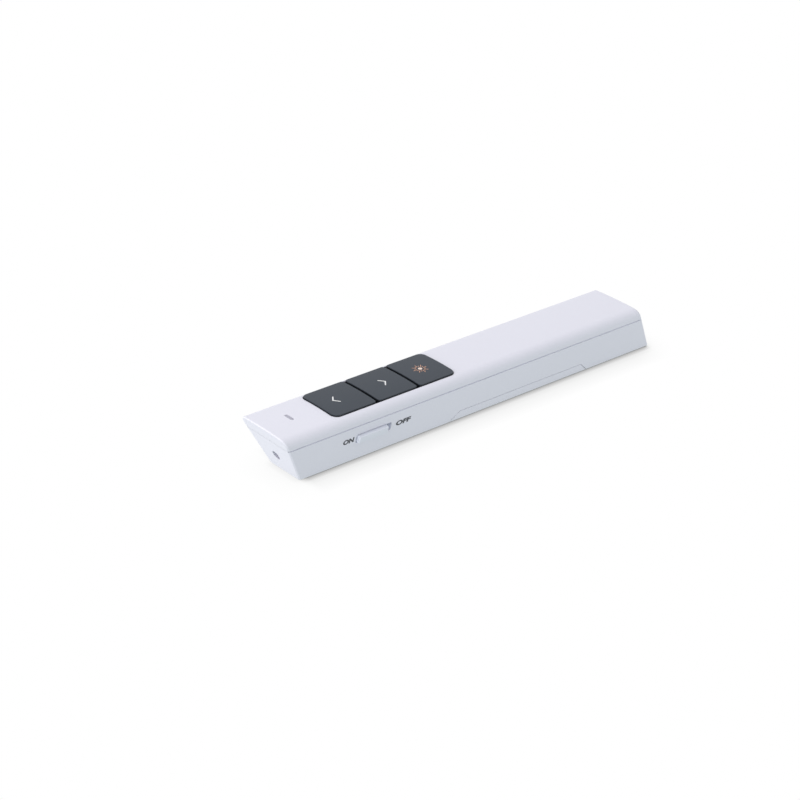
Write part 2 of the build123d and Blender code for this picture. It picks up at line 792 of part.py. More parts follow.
with BuildPart() as laser_lens:
    with BuildSketch(laser_plane(laser_boss_end + barrel_lip)):
        Circle(bore_radius - diode_fit)
    extrude(amount=lens_thickness)
    chamfer(laser_lens.faces().sort_by(Axis.Y)[-1].edges(), lens_bevel)

with BuildPart() as laser_diode:
    with BuildSketch(laser_plane(barrel_rear - diode_flange_thickness)):
        Circle(diode_flange_radius)
    extrude(amount=diode_flange_thickness)
    with BuildSketch(laser_plane(barrel_rear - diode_flange_thickness)):
        Circle(diode_can_radius)
    extrude(amount=-diode_can_length)

with BuildPart() as laser_leads:
    for side in (-1, 1):
        lead_x = side * lead_spacing / 2
        lead_bend = board_bottom - laser_axis
        with BuildLine() as lead_path:
            Polyline(
                (lead_x, barrel_rear, laser_axis),
                (lead_x, barrel_rear + lead_bend, laser_axis),
                (lead_x, barrel_rear + lead_bend, board_bottom),
            )
        with BuildSketch(Plane(origin=(lead_x, barrel_rear, laser_axis), z_dir=(0, 1, 0))):
            RegularPolygon(lead_radius, 6)
        sweep(path=lead_path.wires()[0], transition=Transition.RIGHT)

# ================================================================ power slider and its switch
switch_face = side_x(flange_low, -flange_inner) - slide_switch_gap
lever_tip = side_x(slider_z, -flange_outer) + lever_reach
lever_root = switch_face - slide_switch_depth / 2

with BuildPart() as power_knob:
    with BuildSketch(slider_plane.offset(flange_outer)):
        with Locations((knob_shift, 0)):
            RectangleRounded(knob_length, knob_height, slot_corner - slider_clearance / 2)
    extrude(amount=-flange_outer + slider_rise)
    chamfer(power_knob.faces().sort_by(Axis.X)[-1].edges(), slider_edge)
    with BuildSketch(slider_plane.offset(flange_inner)):
        with Locations((knob_shift, 0)):
            Rectangle(knob_length + 2 * slider_flange, slot_height + 2 * slider_flange_height)
    extrude(amount=slider_flange_thickness)
    with Locations((lever_tip - lever_reach, knob_y, slider_z)):
        Box(
            2 * (lever_reach + lever_fit),
            lever_width + 2 * lever_fit,
            lever_height + 2 * lever_fit,
            mode=Mode.SUBTRACT,
        )

with BuildPart() as switch_lever:
    with Locations(((lever_root + lever_tip) / 2, knob_y, slider_z)):
        Box(lever_tip - lever_root, lever_width, lever_height)

with BuildPart() as slide_switch:
    slide_switch_low = 2 * slider_z - board_bottom
    with Locations((switch_face - slide_switch_depth / 2, slider_y, slider_z)):
        Box(slide_switch_depth, slide_switch_length, board_bottom - slide_switch_low)
    with Locations((switch_face, slider_y, slider_z)):
        Box(
            slide_switch_depth + 2 * lever_fit,
            lever_width + slider_travel + 4 * lever_fit,
            lever_height + 2 * lever_fit,
            mode=Mode.SUBTRACT,
        )

# ================================================================ battery, contacts and spring
with BuildPart() as battery_cell:
    with BuildSketch(Plane.YZ):
        with BuildLine():
            can_front = cell_front + cell_nub_length
            cell_rear = cell_front + cell_length
            Polyline(
                (cell_front, cell_axis),
                (cell_front, cell_axis + cell_nub_radius),
                (can_front, cell_axis + cell_nub_radius),
                (can_front, cell_axis + cell_radius),
                (cell_rear, cell_axis + cell_radius),
                (cell_rear, cell_axis),
                close=True,
            )
        make_face()
    revolve(axis=Axis((0, 0, cell_axis), (0, 1, 0)))
    chamfer(battery_cell.edges().filter_by(GeomType.CIRCLE).group_by(SortBy.RADIUS)[-1], cell_edge)


strip_end = board_rear - strip_overlap

with BuildPart() as positive_contact:
    with BuildSketch(Plane.XZ.offset(-bay_front)):
        with Locations((0, cell_axis)):
            Rectangle(contact_width, contact_width)
    extrude(amount=-contact_thickness)
    with BuildSketch(Plane.XZ.offset(-(bay_front + contact_thickness))):
        with Locations((0, cell_axis)):
            Circle(contact_dimple_radius)
    extrude(amount=-contact_dimple, taper=contact_dimple_slant)
    # neck to the height of the board, then a strip through the bay's front wall to its underside
    with BuildSketch(Plane.XZ.offset(-bay_front)):
        with Locations((strip_offset, (cell_axis + board_bottom) / 2)):
            Rectangle(strip_width, board_bottom - cell_axis)
    extrude(amount=-contact_thickness)
    with BuildSketch(Plane.XY.offset(strip_z)):
        with Locations((strip_offset, (bay_front + contact_thickness + strip_end) / 2)):
            Rectangle(strip_width, bay_front + contact_thickness - strip_end)
    extrude(amount=contact_thickness)

drop_y = bay_front - bay_wall - contact_gap
spring_rear = bay_rear - contact_thickness
spring_run = spring_length - 2 * spring_wire_radius
spring_cone = spring_large_radius - spring_small_radius

with BuildPart() as battery_spring:
    spring_start = Vector(0, spring_rear - spring_wire_radius, cell_axis)
    with BuildLine() as coil:
        Helix(
            pitch=spring_run / spring_turns,
            height=spring_run,
            radius=spring_large_radius,
            center=spring_start,
            direction=(0, -1, 0),
            cone_angle=-degrees(atan(spring_cone / spring_run)),
        )
    with BuildSketch(Plane(origin=coil.edges()[0] @ 0, z_dir=coil.edges()[0] % 0)):
        RegularPolygon(spring_wire_radius, spring_wire_sides)
    sweep(is_frenet=True)

with BuildPart() as negative_contact:
    with BuildSketch(Plane.XZ.offset(-spring_rear)):
        with Locations((0, cell_axis)):
            Rectangle(contact_width, contact_width)
    extrude(amount=-contact_thickness)
    # neck up through the slit in the bay's roof
    with BuildSketch(Plane.XZ.offset(-spring_rear)):
        with Locations((0, (cell_axis + bay_roof + contact_thickness) / 2)):
            Rectangle(strip_width, bay_roof + contact_thickness - cell_axis)
    extrude(amount=-contact_thickness)
    # strip along the roof, stepping aside ahead of the case screw
    with BuildSketch(Plane.XY.offset(bay_roof)):
        with Locations((0, (bay_rear + bay_front) / 2)):
            Rectangle(strip_width, bay_rear - bay_front)
        with Locations((-strip_offset / 2, bay_front)):
            Rectangle(strip_offset + strip_width, strip_width)
        with Locations((-strip_offset, (bay_front + drop_y) / 2)):
            Rectangle(strip_width, bay_front - drop_y)
    extrude(amount=contact_thickness)
    # down in front of the bay, then to the underside of the board
    with BuildSketch(Plane.XZ.offset(-drop_y)):
        with Locations((-strip_offset, (bay_roof + contact_thickness + strip_z) / 2)):
            Rectangle(strip_width, bay_roof + contact_thickness - strip_z)
    extrude(amount=contact_thickness)
    with BuildSketch(Plane.XY.offset(strip_z)):
        with Locations((-strip_offset, (drop_y + strip_end) / 2)):
            Rectangle(strip_width, drop_y - strip_end)
    extrude(amount=contact_thickness)

# ================================================================ receiver
with BuildPart() as receiver_cap:
    with BuildSketch(Plane.XZ.offset(-cap_front)):
        with Locations((0, receiver_axis)):
            RectangleRounded(cap_width, cap_height, cap_corner)
    extrude(amount=-body_height)
    split(bisect_by=back_plane.offset(cap_proud), keep=Keep.BOTTOM)
    chamfer(receiver_cap.faces().sort_by(Axis.Y)[-1].edges(), cap_edge)
    with BuildSketch(Plane.XZ.offset(-cap_front)):
        with Locations((0, receiver_axis)):
            Rectangle(plug_width, plug_height)
    extrude(amount=-plug_embed, mode=Mode.SUBTRACT)

with BuildPart() as receiver_plug:
    with BuildSketch(Plane.XZ.offset(-plug_front)):
        with Locations((0, receiver_axis)):
            Rectangle(plug_width, plug_height)
            Rectangle(plug_width - 2 * plug_metal, plug_height - 2 * plug_metal, mode=Mode.SUBTRACT)
    extrude(amount=-(plug_length + plug_embed))
    # the latch holes, through the upper and the lower side
    with Locations((0, plug_front + plug_hole_setback, receiver_axis)):
        with GridLocations(plug_hole_spacing, 1, 2, 1):
            Box(plug_hole_width, plug_hole_length, 2 * plug_height, mode=Mode.SUBTRACT)

with BuildPart() as receiver_board:
    with BuildSketch(Plane.XZ.offset(-(plug_front + tongue_setback))):
        with Locations((0, receiver_axis - plug_height / 2 + plug_metal + tongue_thickness / 2)):
            Rectangle(tongue_width, tongue_thickness)
    extrude(amount=-(plug_length + plug_embed - tongue_setback))

# ================================================================ screws


def screw(place, head_low, head_radius, head_height, shank_radius, shank_length, up):
    """A pan-head screw; up is +1 when it is driven upwards from its head, -1 when downwards."""
    x, y = place
    with BuildPart() as part:
        with BuildSketch(Plane.XY.offset(head_low)):
            with Locations((x, y)):
                Circle(head_radius)
        extrude(amount=head_height)
        with BuildSketch(Plane.XY.offset(head_low + (head_height if up > 0 else 0))):
            with Locations((x, y)):
                Circle(shank_radius)
        extrude(amount=up * shank_length)
        with BuildSketch(Plane.XY.offset(head_low if up > 0 else head_low + head_height)):
            with Locations((x, y)):
                Rectangle(head_radius, driver_width)
                Rectangle(driver_width, head_radius)
        extrude(amount=up * driver_depth, mode=Mode.SUBTRACT)
    return part.part


case_screw = screw(
    (0, case_screw_y),
    case_head_low,
    case_head_radius,
    case_head_height,
    case_screw_radius,
    case_screw_length,
    up=1,
)
board_screws = Compound(
    children=[
        screw(
            place,
            board_top,
            board_head_radius,
            board_head_height,
            board_screw_radius,
            board_screw_length,
            up=-1,
        )
        for place in board_screw_places
    ]
)

# ================================================================ export
pieces = {
    "top_shell": top_shell.part,
    "bottom_shell": bottom_shell.part,
    "battery_cover": battery_cover.part,
    "light_pipe": light_pipe.part,
    "power_knob": power_knob.part,
    "laser_window": laser_window.part,
    "main_board": main_board.part,
    "status_led": status_led.part,
    "radio_chip": radio_chip.part,
    "crystal": crystal.part,
    "power_inductor": power_inductor.part,
    "laser_barrel": laser_barrel.part,
    "laser_lens": laser_lens.part,
    "laser_diode": laser_diode.part,
    "laser_leads": laser_leads.part,
    "slide_switch": slide_switch.part,
    "switch_lever": switch_lever.part,
    "battery_cell": battery_cell.part,
    "positive_contact": positive_contact.part,
    "negative_contact": negative_contact.part,
    "battery_spring": battery_spring.part,
    "receiver_cap": receiver_cap.part,
    "receiver_plug": receiver_plug.part,
    "receiver_board": receiver_board.part,
    "case_screw": case_screw,
    "board_screws": board_screws,
}
for index, key_name in enumerate(key_names):
    role = key_name.split("_")[1]
    pieces[key_name] = key_cap(index)
    pieces["switch_" + role] = switch_body(key_centres[index])
    pieces["plunger_" + role] = switch_plunger(key_centres[index])

os.makedirs("parts", exist_ok=True)
for name, piece in pieces.items():
    piece.label = name
    export_step(piece, f"parts/{name}.step")
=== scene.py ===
"""Looks of the wireless presentation clicker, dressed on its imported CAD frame.

Metres, +Z up, the nose at -Y and the flank with the power slider at +X."""

import json
import math

import bmesh
import bpy
from mathutils import Matrix, Vector


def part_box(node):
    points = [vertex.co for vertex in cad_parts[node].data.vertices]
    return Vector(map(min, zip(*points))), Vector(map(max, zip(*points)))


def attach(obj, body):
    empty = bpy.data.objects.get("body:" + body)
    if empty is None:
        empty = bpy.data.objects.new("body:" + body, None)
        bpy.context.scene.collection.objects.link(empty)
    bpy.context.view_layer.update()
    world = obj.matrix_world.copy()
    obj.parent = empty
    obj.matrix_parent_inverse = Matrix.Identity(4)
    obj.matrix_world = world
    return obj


MM = 0.001
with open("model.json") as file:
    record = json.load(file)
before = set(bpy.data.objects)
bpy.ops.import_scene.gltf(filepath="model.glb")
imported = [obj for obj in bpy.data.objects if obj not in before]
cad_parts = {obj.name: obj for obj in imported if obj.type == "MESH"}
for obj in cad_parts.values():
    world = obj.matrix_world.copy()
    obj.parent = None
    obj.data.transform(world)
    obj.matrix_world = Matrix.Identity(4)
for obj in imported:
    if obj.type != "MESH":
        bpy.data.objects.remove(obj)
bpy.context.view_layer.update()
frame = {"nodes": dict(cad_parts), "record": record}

# ------------------------------------------------------------------ measures of the CAD
SIDE_SLANT = math.radians(13.3)  # of the flanks
BOTTOM_HALF_WIDTH = 6.9 * MM  # of the footprint
CROWN_RADIUS = 121.6 * MM  # of the key tops
cell_low, cell_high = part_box("battery_cell")
tongue_low, tongue_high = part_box("receiver_board")


# ------------------------------------------------------------------ shader nodes
MIX_FACTOR, MIX_A, MIX_B = 0, 6, 7  # the inputs of a colour mix
MIX_RESULT = 2


def set_inputs(node, inputs):
    """Sets a node's inputs, and links those whose value is a socket."""
    for key, value in inputs.items():
        if isinstance(value, bpy.types.NodeSocket):
            node.id_data.links.new(value, node.inputs[key])
        else:
            node.inputs[key].default_value = value


def adder(tree):
    """A function that adds a node to the tree, with its settings and inputs."""

    def add(kind, inputs=None, **settings):
        node = tree.nodes.new(kind)
        for key, value in settings.items():
            setattr(node, key, value)
        set_inputs(node, inputs or {})
        return node

    return add


def mix_colours(add, factor, low, high):
    """A colour socket that runs from low to high with factor."""
    ends = {MIX_FACTOR: factor, MIX_A: (*low, 1), MIX_B: (*high, 1)}
    return add("ShaderNodeMix", ends, data_type="RGBA").outputs[MIX_RESULT]


def noise(add, place, scale, detail=2.0, roughness=0.5):
    """The outputs of a noise texture of so many features per metre."""
    inputs = {"Vector": place, "Scale": scale, "Detail": detail, "Roughness": roughness}
    return add("ShaderNodeTexNoise", inputs).outputs


def remap(add, value, to_low, to_high, low=0.0, high=1.0):
    """A socket that runs from to_low to to_high as the value runs from low to high."""
    ends = {"Value": value, "From Min": low, "From Max": high, "To Min": to_low, "To Max": to_high}
    return add("ShaderNodeMapRange", ends).outputs["Result"]


def combine(add, operation, one, other, clamp=False):
    """A socket that joins two values with a sum, a product or the like."""
    return add("ShaderNodeMath", {0: one, 1: other}, operation=operation, use_clamp=clamp).outputs[0]


# ------------------------------------------------------------------ materials
PLASTIC_CLOUD = 90.0  # features per metre of the mottle in plastic,
METAL_MARKS = 9000.0  # the marks on metal,
ACRYLIC_CLOUD = 1500.0  # the cloud in acrylic,
INK_SPECKLE = 6000.0  # the speckle of inks
SLEEVE_SPECKLE = 2500.0  # and that of the cell
PLASTIC_GLOSS = (0.88, 1.12)  # range of the roughness, as shares of its mean
METAL_GLOSS = (0.7, 1.4)
METAL_STRETCH = (1.0, 0.06, 1.0)  # of the marks on metal, which run lengthwise
ACRYLIC_LIFT = 1.06  # how much paler the cloud in acrylic is
INK_FADE = 0.9  # share of the colour where an ink is thinnest
SLEEVE_WEAR = 0.12  # how strongly the cell's colours are speckled

CELL_SLEEVE = (0.03, 0.036, 0.045)
CELL_COPPER = (0.55, 0.3, 0.12)
CELL_STEEL = (0.62, 0.62, 0.63)
CELL_BANDS = (  # where each band starts, as a share of the cell's length from the nub, colour, metallic
    (0.0, CELL_STEEL, 1.0),
    (0.025, CELL_COPPER, 0.6),
    (0.23, CELL_SLEEVE, 0.0),
    (0.985, CELL_STEEL, 1.0),
)


def node_material(name):
    """A new material, with its Principled shader, a function that adds nodes, and the coordinates."""
    material = bpy.data.materials.new(name)
    material.use_nodes = True
    add = adder(material.node_tree)
    coordinates = add("ShaderNodeTexCoord").outputs
    return material, material.node_tree.nodes["Principled BSDF"], add, coordinates


def plastic(name, colour, roughness, grain, grain_depth, mottle=0.03, edge=0.0, specular=0.5, faces=None):
    """Moulded plastic: a faint mottle in colour and gloss, and the fine grain of a textured mould.

    Faces is (axis, low, high, share), for painted light or painted shade by which way a face turns: faces
    whose normal has low or less along the axis show that share of the colour, and those with high or more
    show all of it."""
    material, shader, add, coordinates = node_material(name)
    cloud = noise(add, coordinates["Object"], PLASTIC_CLOUD, detail=4.0, roughness=0.6)["Fac"]
    dark = [c * (1 - mottle) for c in colour]
    light = [min(1, c * (1 + mottle)) for c in colour]
    tint = mix_colours(add, cloud, dark, light)
    # painted highlight or painted shade: the colour is scaled by which way each face turns
    if faces:
        axis, low, high, share = faces
        facing = add("ShaderNodeSeparateXYZ", {"Vector": coordinates["Normal"]}).outputs[axis]
        lit = remap(add, facing, share, 1.0, low, high)
        tint = add("ShaderNodeVectorMath", {0: tint, "Scale": lit}, operation="SCALE").outputs["Vector"]
    fine = noise(add, coordinates["Object"], 1 / grain, detail=3.0, roughness=0.55)["Fac"]
    gloss = remap(add, fine, *[roughness * bound for bound in PLASTIC_GLOSS])
    bump = add("ShaderNodeBump", {"Height": fine, "Strength": 1.0, "Distance": grain_depth})
    if edge > 0:
        rounded = add("ShaderNodeBevel", {"Radius": edge}, samples=6)
        set_inputs(bump, {"Normal": rounded.outputs["Normal"]})
    look = {"Base Color": tint, "Roughness": gloss, "Specular IOR Level": specular}
    set_inputs(shader, {**look, "Normal": bump.outputs["Normal"]})
    return material


def metal(name, colour, roughness, brushing=0.0):
    """Plated or turned metal, with fine marks along its length."""
    material, shader, add, coordinates = node_material(name)
    stretched = add("ShaderNodeMapping", {"Vector": coordinates["Object"], "Scale": METAL_STRETCH})
    marks = noise(add, stretched.outputs["Vector"], METAL_MARKS)["Fac"]
    gloss = remap(add, marks, *[roughness * bound for bound in METAL_GLOSS])
    dark = [c * (1 - brushing) for c in colour]
    tint = mix_colours(add, marks, dark, colour)
    set_inputs(shader, {"Base Color": tint, "Roughness": gloss, "Metallic": 1.0})
    return material


def clear(name, colour, roughness):
    """Clear or frosted acrylic with a faint cloud in it."""
    material, shader, add, coordinates = node_material(name)
    cloud = noise(add, coordinates["Object"], ACRYLIC_CLOUD)["Fac"]
    pale = [min(1, c * ACRYLIC_LIFT) for c in colour]
    look = {"Base Color": mix_colours(add, cloud, colour, pale), "Roughness": roughness}
    set_inputs(shader, {**look, "Transmission Weight": 0.35, "IOR": 1.49})
    return material


def ink(name, colour, roughness=0.6):
    """A thin printed mark, with the slight unevenness of pad printing."""
    material, shader, add, coordinates = node_material(name)
    speckle = noise(add, coordinates["Object"], INK_SPECKLE)["Fac"]
    faded = [c * INK_FADE for c in colour]
    set_inputs(shader, {"Base Color": mix_colours(add, speckle, faded, colour), "Roughness": roughness})
    return material


def cell_wrap(name, front, rear):
    """An AAA cell's can: steel at both ends, a copper-toned band by the nub, then a dark sleeve."""
    material, shader, add, coordinates = node_material(name)
    along = add("ShaderNodeSeparateXYZ", {"Vector": coordinates["Object"]}).outputs["Y"]
    share = remap(add, along, 0.0, 1.0, front, rear)
    colours = add("ShaderNodeValToRGB", {"Fac": share})
    metals = add("ShaderNodeValToRGB", {"Fac": share})
    for ramp in (colours.color_ramp, metals.color_ramp):
        ramp.interpolation = "CONSTANT"
        for _ in CELL_BANDS[2:]:
            ramp.elements.new(0.5)
    for k, (start, colour, metallic) in enumerate(CELL_BANDS):
        for ramp, shade in ((colours.color_ramp, colour), (metals.color_ramp, [metallic] * 3)):
            ramp.elements[k].position = start
            ramp.elements[k].color = (*shade, 1)
    speckle = noise(add, coordinates["Object"], SLEEVE_SPECKLE)["Color"]
    layers = {MIX_FACTOR: SLEEVE_WEAR, MIX_A: colours.outputs["Color"], MIX_B: speckle}
    worn = add("ShaderNodeMix", layers, data_type="RGBA", blend_type="MULTIPLY").outputs[MIX_RESULT]
    set_inputs(shader, {"Base Color": worn, "Metallic": metals.outputs["Color"], "Roughness": 0.26})
    return material


def circuit_board(name):
    """Green solder mask with the paler lines of the copper tracks under it."""
    material, shader, add, coordinates = node_material(name)
    pattern = {
        "Vector": coordinates["Object"],
        "Scale": 1000.0,
        "Mortar Size": 0.09,
        "Brick Width": 1.9,
        "Row Height": 0.7,
        "Color1": (0.012, 0.13, 0.055, 1),
        "Color2": (0.018, 0.16, 0.07, 1),
        "Mortar": (0.05, 0.26, 0.12, 1),
    }
    tracks = add("ShaderNodeTexBrick", pattern, offset=0.37).outputs
    bump = add("ShaderNodeBump", {"Height": tracks["Fac"], "Strength": 0.6, "Distance": 0.02 * MM})
    set_inputs(shader, {"Base Color": tracks["Color"], "Normal": bump.outputs["Normal"], "Roughness": 0.28})
    return material


KNOB_END_PAINTED_HIGHLIGHT = ("Y", -0.9, -0.4, 1.16)  # painted highlight: the knob's end towards the nose is coloured lighter, as if lit by the lamp at the nose
KEY_WALL_PAINTED_SHADE = ("Z", 0.35, 0.85, 0.25)  # painted shade: the upright walls of the keys are coloured darker, for the shade of the narrow gaps they stand in
finishes = {
    "shell_white": plastic(
        "shell_plastic", (0.75, 0.76, 0.85), 0.42, 0.16 * MM, 0.004 * MM, mottle=0.012, edge=0.2 * MM
    ),
    "knob_white": plastic(
        "knob_plastic",
        (0.73, 0.76, 0.85),
        0.34,
        0.2 * MM,
        0.002 * MM,
        mottle=0.01,
        edge=0.1 * MM,
        faces=KNOB_END_PAINTED_HIGHLIGHT,
    ),
    "key_grey": plastic(
        "key_plastic",
        (0.033, 0.043, 0.059),
        0.5,
        0.12 * MM,
        0.004 * MM,
        mottle=0.06,
        edge=0.08 * MM,
        specular=0.4,
        faces=KEY_WALL_PAINTED_SHADE,
    ),
    "clear_plastic": clear("frosted_acrylic", (0.6, 0.6, 0.72), 0.35),
    "board_green": circuit_board("solder_mask"),
    "led_white": plastic("led_body", (0.8, 0.79, 0.7), 0.3, 0.2 * MM, 0.001 * MM),
    "chip_black": plastic("chip_epoxy", (0.02, 0.02, 0.022), 0.6, 0.1 * MM, 0.003 * MM),
    "steel_plain": metal("plated_steel", (0.6, 0.6, 0.61), 0.3, 0.12),
    "brass_plain": metal("turned_brass", (0.75, 0.56, 0.27), 0.25, 0.12),
    "switch_black": plastic("switch_plastic", (0.025, 0.025, 0.028), 0.45, 0.15 * MM, 0.002 * MM),
    "plunger_white": plastic("plunger_plastic", (0.76, 0.76, 0.72), 0.4, 0.15 * MM, 0.002 * MM),
    "cell_sleeve": cell_wrap("cell_wrap", cell_low.y, cell_high.y),
    "contact_nickel": metal("nickel_plate", (0.78, 0.76, 0.71), 0.22, 0.1),
    "receiver_black": plastic(
        "receiver_plastic", (0.02, 0.021, 0.023), 0.35, 0.15 * MM, 0.002 * MM, edge=0.15 * MM
    ),
    "tongue_black": plastic("tongue_plastic", (0.018, 0.018, 0.018), 0.5, 0.15 * MM, 0.002 * MM),
    "screw_steel": metal("zinc_plate", (0.58, 0.58, 0.6), 0.35, 0.15),
}
window_tint = clear("laser_window_acrylic", (0.16, 0.02, 0.025), 0.12)
slot_of = {part["node"]: part["material_slot"] for part in frame["record"]["subparts"]}
for node_name, node in frame["nodes"].items():
    finish = window_tint if node_name == "laser_window" else finishes[slot_of[node_name]]
    slots = node.data.materials
    if not slots:
        slots.append(finish)
    for index in range(len(slots)):
        slots[index] = finish

white_ink = ink("white_ink", (0.86, 0.87, 0.88))
peach_ink = ink("peach_ink", (0.72, 0.4, 0.27))
pale_ink = ink("pale_peach_ink", (0.9, 0.72, 0.62))
dark_ink = ink("dark_ink", (0.05, 0.055, 0.065))
pole_ink = ink("pole_ink", (0.82, 0.83, 0.84))

# ------------------------------------------------------------------ prints on the keys
PRINT_LIFT = 0.012 * MM  # how far a print stands on its surface
PRINT_THICKNESS = 0.012 * MM
MARK_SHIFT = 0.25 * MM  # of all the keys' marks, towards the power slider

ARROW_SPREAD = 1.95 * MM
ARROW_REACH = 1.6 * MM
ARROW_STROKE = 0.42 * MM
ARROW_CUT = 0.9  # how squarely the arms end, where 1 is a right angle
PREVIOUS_TIP = -52.2 * MM
NEXT_TIP = -31.4 * MM

SUN_Y = -17.75 * MM
SUN_RADIUS = 2.5 * MM
SUN_RAYS = 16
SUN_STROKE = 0.2 * MM
SUN_INNER = 0.5  # where the rays start, as a share of the radius
SUN_SHORT = 0.74  # where every second ray ends
SUN_SPOT = 0.27  # the spot in the middle
SPOT_SIDES = 20


def mesh_of(name, shape):
    """A mesh made from a bmesh, which is used up."""
    mesh = bpy.data.meshes.new(name)
    shape.to_mesh(mesh)
    shape.free()
    return mesh


def new_piece(name, mesh, material, body):
    """An object made from a mesh and a material, riding on a body."""
    mesh.materials.clear()
    mesh.materials.append(material)
    piece = bpy.data.objects.new(name, mesh)
    bpy.context.scene.collection.objects.link(piece)
    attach(piece, body)


def crown_height(top, x):
    """Height of a key's domed top at x, where top is its height in the middle."""
    return top - CROWN_RADIUS + math.sqrt(CROWN_RADIUS**2 - x**2)


def print_on_key(name, polygons, key, material):
    """Flat polygons laid on the key's domed top as a thin print."""
    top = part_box(f"button_{key}")[1].z
    shape = bmesh.new()
    for corners in polygons:
        face = shape.faces.new([shape.verts.new((x + MARK_SHIFT, y, 0)) for x, y in corners])
        face.normal_update()
        if face.normal.z < 0:
            face.normal_flip()
    bmesh.ops.solidify(shape, geom=shape.faces[:], thickness=-PRINT_THICKNESS)
    for vertex in shape.verts:
        vertex.co.z += crown_height(top + PRINT_LIFT, vertex.co.x)
    bmesh.ops.recalc_face_normals(shape, faces=shape.faces[:])
    new_piece(name, mesh_of(name, shape), material, f"key_{key}")


def chevron(tip, reach):
    """A chevron's outline: its tip at (0, tip), its arms reaching back by reach."""
    slope = math.hypot(reach, ARROW_SPREAD)
    notch = math.copysign(ARROW_STROKE * slope / ARROW_SPREAD, reach)
    cut = ARROW_STROKE * ARROW_SPREAD / slope * ARROW_CUT
    inner_x = ARROW_SPREAD - cut * ARROW_SPREAD / slope
    inner_y = tip + reach + math.copysign(cut, reach)
    return [
        (0, tip),
        (ARROW_SPREAD, tip + reach),
        (inner_x, inner_y),
        (0, tip + notch),
        (-inner_x, inner_y),
        (-ARROW_SPREAD, tip + reach),
    ]


def round_the_sun(radius, turn):
    """The point at so many radians round the sun's centre."""
    return Vector((radius * math.cos(turn), SUN_Y + radius * math.sin(turn)))


def ray(turn, outer):
    """A ray of the sun as a polygon of four corners."""
    start, end = round_the_sun(SUN_RADIUS * SUN_INNER, turn), round_the_sun(outer, turn)
    across = Vector((-math.sin(turn), math.cos(turn))) * SUN_STROKE / 2
    return [start + across, start - across, end - across, end + across]


rays = [ray(2 * math.pi * k / SUN_RAYS, SUN_RADIUS * (SUN_SHORT if k % 2 else 1)) for k in range(SUN_RAYS)]
spot = [round_the_sun(SUN_RADIUS * SUN_SPOT, 2 * math.pi * k / SPOT_SIDES) for k in range(SPOT_SIDES)]
print_on_key("mark_previous", [chevron(PREVIOUS_TIP, ARROW_REACH)], "previous", white_ink)
print_on_key("mark_next", [chevron(NEXT_TIP, -ARROW_REACH)], "next", white_ink)
print_on_key("mark_laser_rays", rays, "laser", peach_ink)
print_on_key("mark_laser_spot", [spot], "laser", pale_ink)

# ------------------------------------------------------------------ words by the power slider
WORD_HEIGHT = 1.9 * MM
LETTER_WEIGHT = 0.05  # how much the font's strokes are thickened, for letters about 1 unit high


def flank_x(z):
    """Half width of the housing at height z."""
    return BOTTOM_HALF_WIDTH + z * math.tan(SIDE_SLANT)


def flank_word(name, word, centre_y, centre_z, length):
    """A word printed on the flank with the power slider, read from the nose towards the tail."""
    text = bpy.data.curves.new(name, "FONT")
    text.body = word
    text.align_x = "CENTER"
    text.align_y = "CENTER"
    text.extrude = PRINT_THICKNESS
    text.offset = LETTER_WEIGHT
    flat = bpy.data.objects.new(name + "_flat", text)
    bpy.context.scene.collection.objects.link(flat)
    bpy.context.view_layer.update()
    mesh = bpy.data.meshes.new_from_object(flat.evaluated_get(bpy.context.evaluated_depsgraph_get()))
    mesh.name = name
    bpy.data.objects.remove(flat)

    xs = [vertex.co.x for vertex in mesh.vertices]
    ys = [vertex.co.y for vertex in mesh.vertices]
    middle = Matrix.Translation((-(min(xs) + max(xs)) / 2, -(min(ys) + max(ys)) / 2, 0))
    scale = Matrix.Diagonal((length / (max(xs) - min(xs)), WORD_HEIGHT / (max(ys) - min(ys)), 1, 1))
    up = Vector((math.sin(SIDE_SLANT), 0, math.cos(SIDE_SLANT)))
    along = Vector((0, 1, 0))
    out = along.cross(up)
    turn = Matrix((along, up, out)).transposed().to_4x4()
    place = Matrix.Translation(Vector((flank_x(centre_z), centre_y, centre_z)) + out * PRINT_LIFT)
    mesh.transform(place @ turn @ scale @ middle)
    new_piece(name, mesh, dark_ink, "housing")


flank_word("word_on", "ON", centre_y=-52.8 * MM, centre_z=8.65 * MM, length=4.1 * MM)
flank_word("word_off", "OFF", centre_y=-31.5 * MM, centre_z=8.45 * MM, length=5.8 * MM)

# ------------------------------------------------------------------ plus and minus on the cell
POLE_MARK = 1.3 * MM  # half length of the strokes of the plus and the minus
POLE_STROKE = 0.28 * MM  # half their width
POLE_STEPS = 6  # faces along a stroke's arc
POLE_TURNS = (-115, -25)  # where the marks stand round the can, in degrees from +X towards +Z
PLUS_Y = cell_low.y + 13.0 * MM
MINUS_Y = cell_high.y - 4.0 * MM


def print_on_cell(name, around, along, centre_y, turn):
    """A stroke printed round the battery cell's can, with its half sizes around and along the can."""
    radius = (cell_high.x - cell_low.x) / 2 + PRINT_LIFT
    axis_x, axis_z = (cell_high.x + cell_low.x) / 2, (cell_high.z + cell_low.z) / 2
    shape = bmesh.new()
    rows = []
    for k in range(POLE_STEPS + 1):
        angle = turn + around / radius * (2 * k / POLE_STEPS - 1)
        x, z = axis_x + radius * math.cos(angle), axis_z + radius * math.sin(angle)
        rows.append([shape.verts.new((x, y, z)) for y in (centre_y - along, centre_y + along)])
    for low, high in zip(rows, rows[1:]):
        shape.faces.new((low[0], low[1], high[1], high[0]))
    bmesh.ops.recalc_face_normals(shape, faces=shape.faces[:])
    bmesh.ops.solidify(shape, geom=shape.faces[:], thickness=PRINT_THICKNESS)
    bmesh.ops.recalc_face_normals(shape, faces=shape.faces[:])
    new_piece(name, mesh_of(name, shape), pole_ink, "housing")


